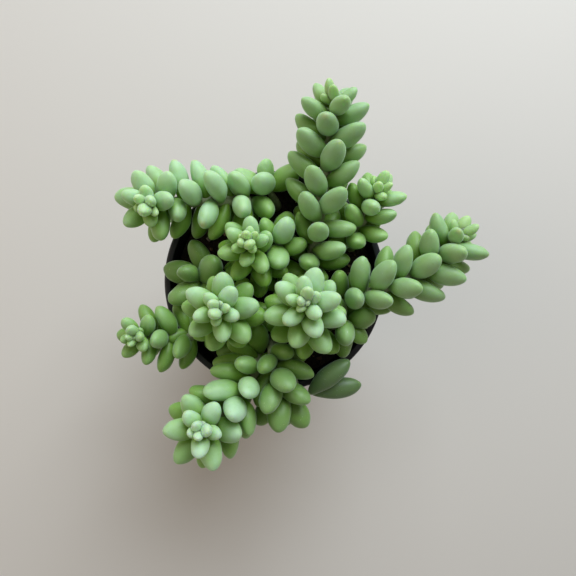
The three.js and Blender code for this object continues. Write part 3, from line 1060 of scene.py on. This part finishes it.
def young_buds(number):
    """Root, direction, length and radius of the buds that fit round a stem's tip."""
    stem, line = stems[number], lines[number]
    habit = stem["habit"]
    along, across = line["along"][0], line["across"][0]
    tip = line["points"][0] - along * bud_depth
    third = np.cross(along, across)
    grids = np.meshgrid(np.radians(habit["bud_angles"]), bud_turns)
    angles, turns = (grid.ravel() for grid in grids)
    sideways = across * np.cos(turns)[:, None] + third * np.sin(turns)[:, None]
    headings = along * np.cos(angles)[:, None] + sideways * np.sin(angles)[:, None]
    centres, radii = feel()
    balls, sizes = centres[of_stem == number].reshape(-1, 3), radii[of_stem == number].ravel()
    found = []
    for bud in np.array(habit["buds"]) * stem["length"] / full_length:
        for height in bud_heights:
            size = height + habit["bud_cap"] * bud
            ends = tip + headings * size
            inside = ((ends < highest) & (ends > lowest)).all(axis=1)
            gaps = np.linalg.norm((tip + headings * height)[:, None] - balls, axis=2) - sizes
            room = np.where(inside, gaps.min(axis=1) - bud, -bud)
            if room.max() > -bud_squeeze * bud:
                heading = headings[room.argmax()]
                found.append((tip, heading, size, bud))
                balls = np.concatenate((balls, [tip + heading * height]))
                sizes = np.append(sizes, bud)
                break
    return found


buds = [(number, *bud) for number, stem in enumerate(stems)
        if stem["habit"] is not old_shoot for bud in young_buds(number)]
of_stem, root, direction, upper, length, radius = with_more(buds)
print("buds added:", len(buds), "; all leaves now:", len(root))

# %% [markdown]
# ## The old leaves over the front rim
# The short shoot at the front right carries four old leaves. They have lost water, so they
# are slim, and they lie side by side over the rim instead of spreading like a star. A habit
# of their own could say so; turning two of them one by one is simpler for so few.

# %% Slim and turn the old leaves
shrivelled = 0.62
old_headings = {1: (0.7, 0.65, -0.15), 2: (0.93, 0.13, -0.2)}

old_shoot_number = [stem["name"] for stem in stems].index("shoot_front_right")
old_leaves = np.flatnonzero(of_stem == old_shoot_number)
radius[old_leaves] *= shrivelled
for place, heading in old_headings.items():
    turned = old_leaves[place]
    direction[turned] = unit(np.array(heading))
    upper[turned] = unit(upper[turned] - direction[turned] * (upper[turned] @ direction[turned]))
print("old leaves slimmed to", np.round(2 * radius[old_leaves], 1), "mm")

# %% [markdown]
# ## Painted shade between the leaves
# Bloom is rubbed thin where leaves touch. Where other leaves cover a place from the light,
# its powder is also painted thinner and its flesh a darker, stronger green: painted shade
# in the creases and deep inside the plant. So every place on a leaf is told how much of
# the light the balls of the other leaves cover.

# %% Painted shade: how unshaded each place lies
# The light whose shade is painted comes from this direction, a mix of sky and window.
light_direction = unit(np.array((0.2, 0.4, 0.9)))
leaf_balls, ball_sizes = (values.reshape(-1, *values.shape[2:]) for values in feel())
ball_owner = np.repeat(np.arange(len(root)), len(stations))


def openness(places, owner):
    """1 where nothing covers the light, towards 0 in painted shade where other leaves cover it."""
    others = ball_owner != owner
    toward = leaf_balls[others] - places[:, None]
    distance = np.linalg.norm(toward, axis=2)
    cover = (ball_sizes[others] / distance) ** 2 * np.maximum(0, toward @ light_direction / distance)
    return np.exp(-np.minimum(cover, 1).sum(axis=1))


middles = middle_of(stations[2])
lit_share = [float(openness(middles[k:k + 1], k)[0]) for k in range(len(root))]
print("openness of the leaves' middles, fifths:", np.round(np.percentile(lit_share, range(0, 101, 20)), 2))

# %% [markdown]
# ## Leaf flesh and bloom
# A burro's tail leaf is a skin over clear watery flesh: green light comes through its
# edges. Over the skin lies a pale, waxy powder that rubs off in places. The flesh is
# yellower where the leaf is young and near its root, where it is also painted darker as
# painted shade in the crease, and a few tips are tinged with straw. Subsurface scattering
# gives the glow, a sheen gives the powder's soft edge, and the bloom itself is a paler
# colour laid on by noise, because a texture image would not follow some three hundred
# and fifty leaves.

# %% The leaves' colours
young_flesh = srgb(174, 208, 88)
grown_flesh = srgb(144, 184, 62)
cool_flesh = srgb(114, 170, 80)
# Near the root the flesh is a darker, stronger green: partly the leaf's own base, partly painted shade
# in the crease.
root_green_and_shade = srgb(120, 158, 12)
# Painted shade: the darker, stronger green of places that other leaves cover.
painted_shade_green = srgb(114, 158, 18)
powder_colour = srgb(200, 231, 204)
straw_tip = srgb(196, 160, 112)
# Grey-green of dull old leaves, also laid on stem_right and stem_back as painted shade.
dull_and_shaded_skin = srgb(88, 108, 84)
pale_speck = srgb(214, 222, 196)
powder_sheen = srgb(216, 240, 226)
print("grown flesh, linear:", [round(part, 3) for part in grown_flesh[:3]])

# %% Flesh and powder
cloud_size = 4.0
rub_size = 0.9


def flesh_colour(tree, along, lit_share, chance):
    """The flesh: yellower when young, cooler by chance, stronger at the root partly as painted shade,
    and painted darker as painted shade where other leaves cover it.
    """
    age = attribute(tree, "age")
    flesh = blend(tree, ramp(tree, age, 0.0, 0.35), young_flesh, grown_flesh)
    flesh = blend(tree, ramp(tree, chance, 0.0, 1.0, 0.0, 0.35), flesh, cool_flesh)
    # Towards the root: the leaf's own yellower base, darkened as painted shade in the crease.
    flesh = blend(tree, ramp(tree, along, 0.05, 0.5, 0.8, 0.0), flesh, root_green_and_shade)
    # Painted shade: the flesh darkens where other leaves cover it from the light.
    return blend(tree, ramp(tree, lit_share, 0.05, 0.6, 0.75, 0.0), flesh, painted_shade_green)


def powder_share(tree, along, lit_share, dull_and_shade):
    """How thick the powder lies: cloudy, rubbed off in spots, thinner at the root and in covered places
    as painted shade, and thinner with age and by each stem's bloom, partly painted shade.
    """
    clouds = ramp(tree, speckle(tree, cloud_size, 3, 0.5), 0.3, 0.7, 0.7, 1.0)
    rubbed = ramp(tree, speckle(tree, rub_size, 3, 0.6, 7.0), 0.62, 0.74, 1.0, 0.75)
    # Powder thins towards the root, partly rubbed off and partly painted shade in the crease.
    powder = times(tree, times(tree, clouds, rubbed), ramp(tree, along, 0.08, 0.55, 0.3, 1.0))
    # Painted shade: the powder thins where other leaves cover the place from the light.
    powder = times(tree, powder, ramp(tree, lit_share, 0.05, 0.6, 0.1, 1.0))
    # Each stem's bloom, lower on the right and back stems as painted shade.
    powder = times(tree, powder, attribute(tree, "bloom_and_shade"))
    return times(tree, powder, ramp(tree, dull_and_shade, 0.0, 1.0, 0.75, 0.3))


print("powder clouds of", cloud_size, "mm and rubbed spots of", rub_size, "mm")

# %% Leaf material
glow = 0.75
glow_reach = (0.8, 1.0, 0.3)
glow_depth = 2.8 * mm
sheen = 0.5
sheen_spread = 0.35


def make_leaf_material():
    """Glowing flesh under a pale powder, with a few straw-coloured tips and pale specks."""
    material, tree, shader = new_material("bloomed leaf")
    along, lit_share = attribute(tree, "along"), attribute(tree, "open")
    chance, dull_and_shade = attribute(tree, "chance"), attribute(tree, "dull_and_shade")
    powder = powder_share(tree, along, lit_share, dull_and_shade)
    colour = blend(tree, powder, flesh_colour(tree, along, lit_share, chance), powder_colour)
    blush = times(tree, ramp(tree, along, 0.96, 1.04), ramp(tree, chance, 0.9, 0.94, 0.0, 0.4))
    colour = blend(tree, blush, colour, straw_tip)
    # Dull old leaves, and painted shade on stem_right and stem_back.
    colour = blend(tree, times(tree, dull_and_shade, 0.75), colour, dull_and_shaded_skin)
    specks = ramp(tree, speckle(tree, 0.28, 1, 0.5, 5.0), 0.735, 0.75, 0.0, 0.5)
    feed(tree, shader, "Base Color", blend(tree, specks, colour, pale_speck))
    feed(tree, shader, "Roughness", ramp(tree, powder, 0.0, 0.8, 0.44, 0.56))
    for socket, value in (("Subsurface Weight", glow), ("Subsurface Radius", glow_reach),
                          ("Subsurface Scale", glow_depth), ("Sheen Weight", sheen),
                          ("Sheen Roughness", sheen_spread), ("Sheen Tint", powder_sheen)):
        feed(tree, shader, socket, value)
    fine = ramp(tree, speckle(tree, 0.25, 2), 0.3, 0.7, 0.0, 0.2)
    rough_surface(tree, shader, times(tree, speckle(tree, 1.8, 3), fine, "ADD"), 0.3, 0.06)
    return material


leaf_skin = make_leaf_material()
print("made", leaf_skin.name, "with", len(leaf_skin.node_tree.nodes), "nodes")

# %% [markdown]
# ## Bark of the stems
# Between the leaves the stems show a soft, grey-green skin with brownish scars where old
# leaves have dropped. A painted texture is more than so little bark needs, so two noises
# make its patches and its scars.

# %% Stem bark
light_bark = srgb(172, 178, 142)
green_bark = srgb(136, 150, 106)
scar_colour = srgb(120, 104, 80)


def make_bark_material():
    """Patchy grey-green bark with brownish scars."""
    material, tree, shader = new_material("pale stem bark")
    patches = ramp(tree, speckle(tree, 1.4, 4, 0.6), 0.35, 0.65)
    colour = blend(tree, patches, green_bark, light_bark)
    scars = ramp(tree, speckle(tree, 0.6, 2, 0.6, 4.0), 0.6, 0.7, 0.0, 0.6)
    feed(tree, shader, "Base Color", blend(tree, scars, colour, scar_colour))
    feed(tree, shader, "Roughness", 0.7)
    rough_surface(tree, shader, speckle(tree, 0.5, 3), 0.6, 0.15)
    return material


bark = make_bark_material()
print("made", bark.name)

# %% [markdown]
# ## One leaf's cage
# A leaf could be sculpted, but hundreds of them must stay light. A sphere of eight by
# seven faces is pulled along the leaf's outline and a Subdivision Surface modifier
# rounds it. The modifier draws a surface in from its cage, so the cage's rings are
# solved first: wide enough that the rounded leaf has exactly the measured outline.

# %% Ring places and widths of the cage
around = 8
rings_along = 7
ring_places = np.array((0.0, 0.045, 0.2, 0.42, 0.64, 0.83, 0.955, 1.0))
pull_in = 2 / 3 + math.cos(2 * math.pi / around) / 3
visible_bluntness = 0.5
tip_place = 1.04


def cage_rings():
    """Places and half widths of the cage's rings so that the rounded leaf meets the outline."""
    smooth = np.eye(rings_along + 1)
    for k in range(1, rings_along):
        smooth[k, k - 1:k + 2] = (1 / 6, 2 / 3, 1 / 6)
    widths = leaf_outline(ring_places, visible_bluntness) / pull_in
    widths[[0, -1]] = 0
    places = ring_places.copy()
    places[-1] = tip_place
    return np.linalg.solve(smooth, places), np.linalg.solve(smooth, widths)


cage_places, cage_widths = cage_rings()
print("cage half widths:", np.round(cage_widths, 2))

# %% [markdown]
# ## Shaping every leaf
# Each leaf starts as the same small sphere. Its rings move to their places along the
# leaf, it is flattened on the side that faces the stem's tip and stays round
# underneath, and a little noise keeps any two leaves from being twins. What the material
# needs to know, such as the place along the leaf and its age, goes along as attributes.

# %% One leaf on its stem
leaf_flatness = 0.86
flat_side, round_side = 0.93, 1.05
unevenness = 0.15
waviness = 0.45


def add_leaf(bm, layers, index, facts):
    """Pulls a small sphere along a leaf's outline and writes what the material reads."""
    centre, forward, up = root[index], direction[index], upper[index]
    right = np.cross(forward, up)
    made = bmesh.ops.create_uvsphere(bm, u_segments=around, v_segments=rings_along, radius=1)
    for vert in made["verts"]:
        height = max(-1, min(1, vert.co.z))
        ring = rings_along - round(math.acos(height) / math.pi * rings_along)
        t, half = cage_places[ring], cage_widths[ring] * radius[index]
        turn = math.atan2(vert.co.y, vert.co.x)
        thickness = leaf_flatness * (flat_side if math.sin(turn) > 0 else round_side)
        place = (centre + forward * length[index] * t
                 + right * half * math.cos(turn)
                 + up * (half * thickness * math.sin(turn) + length[index] * leaf_bend * t * t))
        vert.co = place
        vert.co += noise.noise_vector(vert.co * waviness) * (unevenness * half)
        vert[layers["along"]] = t
        for name, value in facts.items():
            vert[layers[name]] = value
    # How much the other leaves cover each point from the light, for the painted shade.
    lit_share = openness(np.array([vert.co for vert in made["verts"]]), index)
    for vert, share in zip(made["verts"], lit_share):
        vert[layers["open"]] = share


print("faces in one leaf's cage:", around * rings_along)

# %% [markdown]
# ## All leaves of a stem
# A leaf as an object of its own would make a list of hundreds. The leaves of one stem are
# one mesh instead, as they are one solid in the frame, and share one smoothing modifier.
# A leaf ages with its place down the stem, and the added buds are the youngest of all.

# %% Leaves of a stem as one mesh
leaf_facts = ("along", "open", "age", "chance", "dull_and_shade", "bloom_and_shade")
ageing_pace = 14
chance_seed = 500
first_bud = len(root) - len(buds)


def leaf_piece(number):
    """The smooth leaves of one stem."""
    stem = stems[number]
    draw = draws_from(stem["draw"] + chance_seed)
    bm = bmesh.new()
    layers = {name: bm.verts.layers.float.new(name) for name in leaf_facts}
    for count, index in enumerate(np.flatnonzero(of_stem == number)):
        down = 0 if index >= first_bud else count
        age = 1.0 if stem["habit"] is old_shoot else 1 - math.exp(-down / ageing_pace)
        add_leaf(bm, layers, index, dict(
            age=age, chance=next(draw), dull_and_shade=dullness_and_shade.get(stem["name"], 0),
            bloom_and_shade=bloom_and_shade.get(stem["name"], 1)))
    bmesh.ops.recalc_face_normals(bm, faces=bm.faces)
    return finished(stem["name"] + "_leaves", bm, leaf_skin, levels=2)


print("leaves on each stem:", [int((of_stem == number).sum()) for number in range(len(stems))])

# %% [markdown]
# ## A stem under its leaves
# The stem itself is a soft, pale green rod that shows only in a few gaps. A bevelled
# curve object would do, but a ring that is extruded along the centreline gives a clean
# tube with a known radius and lets it taper towards the tip.

# %% Place of a ring on a centreline
def stem_frame(line, k, thickness):
    """The matrix that puts a ring of radius 1 on a centreline's point k."""
    point, along, across = line["points"][k], line["along"][k], line["across"][k]
    third = np.cross(along, across)
    columns = [across * thickness, third * thickness, along * thickness, point]
    frame_matrix = Matrix.Identity(4)
    for column, values in enumerate(columns):
        for row in range(3):
            frame_matrix[row][column] = values[row]
    return frame_matrix


first_tip = stem_frame(lines[0], 0, 1).translation
print("the first stem's tip in mm:", [round(part, 1) for part in first_tip])

# %% Stem as an extruded ring
stem_tip_radius = 0.5
taper = 12
stem_sides = 10
stem_root = 4
ring_stride = 4


def ring_edges(bm, ring):
    """The edges that join the points of a ring."""
    return [edge for edge in bm.edges if all(vert in ring for vert in edge.verts)]


def axis_piece(number):
    """A tapering rod from a little under the soil up to the stem's tip."""
    stem, line = stems[number], lines[number]
    bm = bmesh.new()
    ring = bmesh.ops.create_circle(bm, segments=stem_sides, radius=1, cap_ends=True)["verts"]
    below = Matrix.Translation((*stem["foot"], soil_top - stem_root))
    before = below @ Matrix.Scale(stem_radius, 4)
    bmesh.ops.transform(bm, matrix=before, verts=ring)
    for k in range(curve_steps, -1, -ring_stride):
        thickness = min(1, stem_tip_radius / stem_radius + line["lengths"][k] / taper) * stem_radius
        made = bmesh.ops.extrude_edge_only(bm, edges=ring_edges(bm, ring))["geom"]
        ring = [item for item in made if isinstance(item, bmesh.types.BMVert)]
        after = stem_frame(line, k, thickness)
        bmesh.ops.transform(bm, matrix=after @ before.inverted(), verts=ring)
        before = after
    bmesh.ops.contextual_create(bm, geom=ring_edges(bm, ring))
    bmesh.ops.recalc_face_normals(bm, faces=bm.faces)
    return finished(stem["name"] + "_axis", bm, bark, levels=1)


print("rings on each stem:", len(range(curve_steps, -1, -ring_stride)))

# %% [markdown]
# ## Leaves and stems take their solids' places
# In the frame each leafy stem is one plain solid. The leaves and the rod of a stem replace
# it together and ride on the only body there is. They could be joined into one object;
# kept apart, each has its own material and smoothness.

# %% Replace the solids
visible_pieces = []
for number, stem in enumerate(stems):
    for piece in (leaf_piece(number), axis_piece(number)):
        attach(piece, "root")
        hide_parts(stem["name"])
        visible_pieces.append(piece)
for part, pieces in (("leaves", visible_pieces[::2]), ("stems", visible_pieces[1::2])):
    print("faces in the cages of all", part + ":", sum(len(piece.data.polygons) for piece in pieces))

# %% [markdown]
# ## A pale floor
# The plant stands on something, or its shadow would be lost. A curved backdrop is usual
# for a studio; seen from straight above, one large plain face is enough.

# %% Pale floor
floor_half = 1500
floor_colour = srgb(223, 216, 209)

floor_material, floor_tree, floor_shader = new_material("pale floor")
feed(floor_tree, floor_shader, "Base Color", floor_colour)
feed(floor_tree, floor_shader, "Roughness", 0.8)
floor_mesh = bmesh.new()
bmesh.ops.create_grid(floor_mesh, x_segments=1, y_segments=1, size=floor_half)
pale_floor = finished("pale_floor", floor_mesh, floor_material)
print("floor width in m:", round(pale_floor.dimensions.x, 1))

# %% [markdown]
# ## Window light
# Daylight from a window is soft, a little cool and comes from one side. A sky texture
# could give it; a large lamp at the back right is easier to aim. A weak, warm second one
# stands for the light that the room throws back, and an even world fills the shadows.

# %% Lamps and sky
def soft_light(name, place, target, size, power, colour):
    """A rectangular lamp that points at a target; places and sizes are in metres."""
    lamp = bpy.data.lights.new(name, "AREA")
    lamp.shape = "RECTANGLE"
    lamp.size, lamp.size_y = size
    lamp.energy = power
    lamp.color = colour
    light = bpy.data.objects.new(name, lamp)
    light.location = place
    light.rotation_euler = (Vector(target) - Vector(place)).to_track_quat("-Z", "Y").to_euler()
    bpy.context.scene.collection.objects.link(light)


soft_light("window", (0.2, 0.54, 0.48), (0, 0, 0.06), (0.55, 0.45), 5.9, (0.82, 0.93, 1.0))
soft_light("room", (-0.6, 0.0, 0.4), (-0.05, 0, 0.03), (0.6, 0.6), 1.0, (1.0, 0.85, 0.68))
world = bpy.data.worlds.new("soft daylight")
world.use_nodes = True
background = world.node_tree.nodes["Background"]
background.inputs["Color"].default_value = (1.0, 0.95, 0.88, 1)
background.inputs["Strength"].default_value = 0.24
bpy.context.scene.world = world
bpy.context.scene.view_settings.view_transform = "Standard"
print("lamps:", [lamp.name for lamp in bpy.data.lights])

# %% [markdown]
# ## Camera from above
# The photograph looks straight down from about twenty centimetres, so the tall tips in
# the middle look larger than the pot. A longer lens from further away would flatten that;
# this lens and height were found from the rim's circle. An unturned camera looks down.

# %% Camera
camera_place = (4.34, -2.25, 199)

camera_data = bpy.data.cameras.new("camera")
camera_data.lens = 27
camera_data.sensor_width = 36
camera_data.clip_start = 0.01
camera = bpy.data.objects.new("camera", camera_data)
camera.location = [part * mm for part in camera_place]
bpy.context.scene.collection.objects.link(camera)
bpy.context.scene.camera = camera
print("camera height in mm:", round(camera.location.z / mm))

# %% [markdown]
# ## Last measure
# The fine surfaces must stay close to the box of the measured solids, because the solids
# say how big the plant is. The box of the solids is written down.

# %% The solids' box
print("solids in mm:", [round(v * 1000, 1) for v in (*cad_low, *cad_high)])
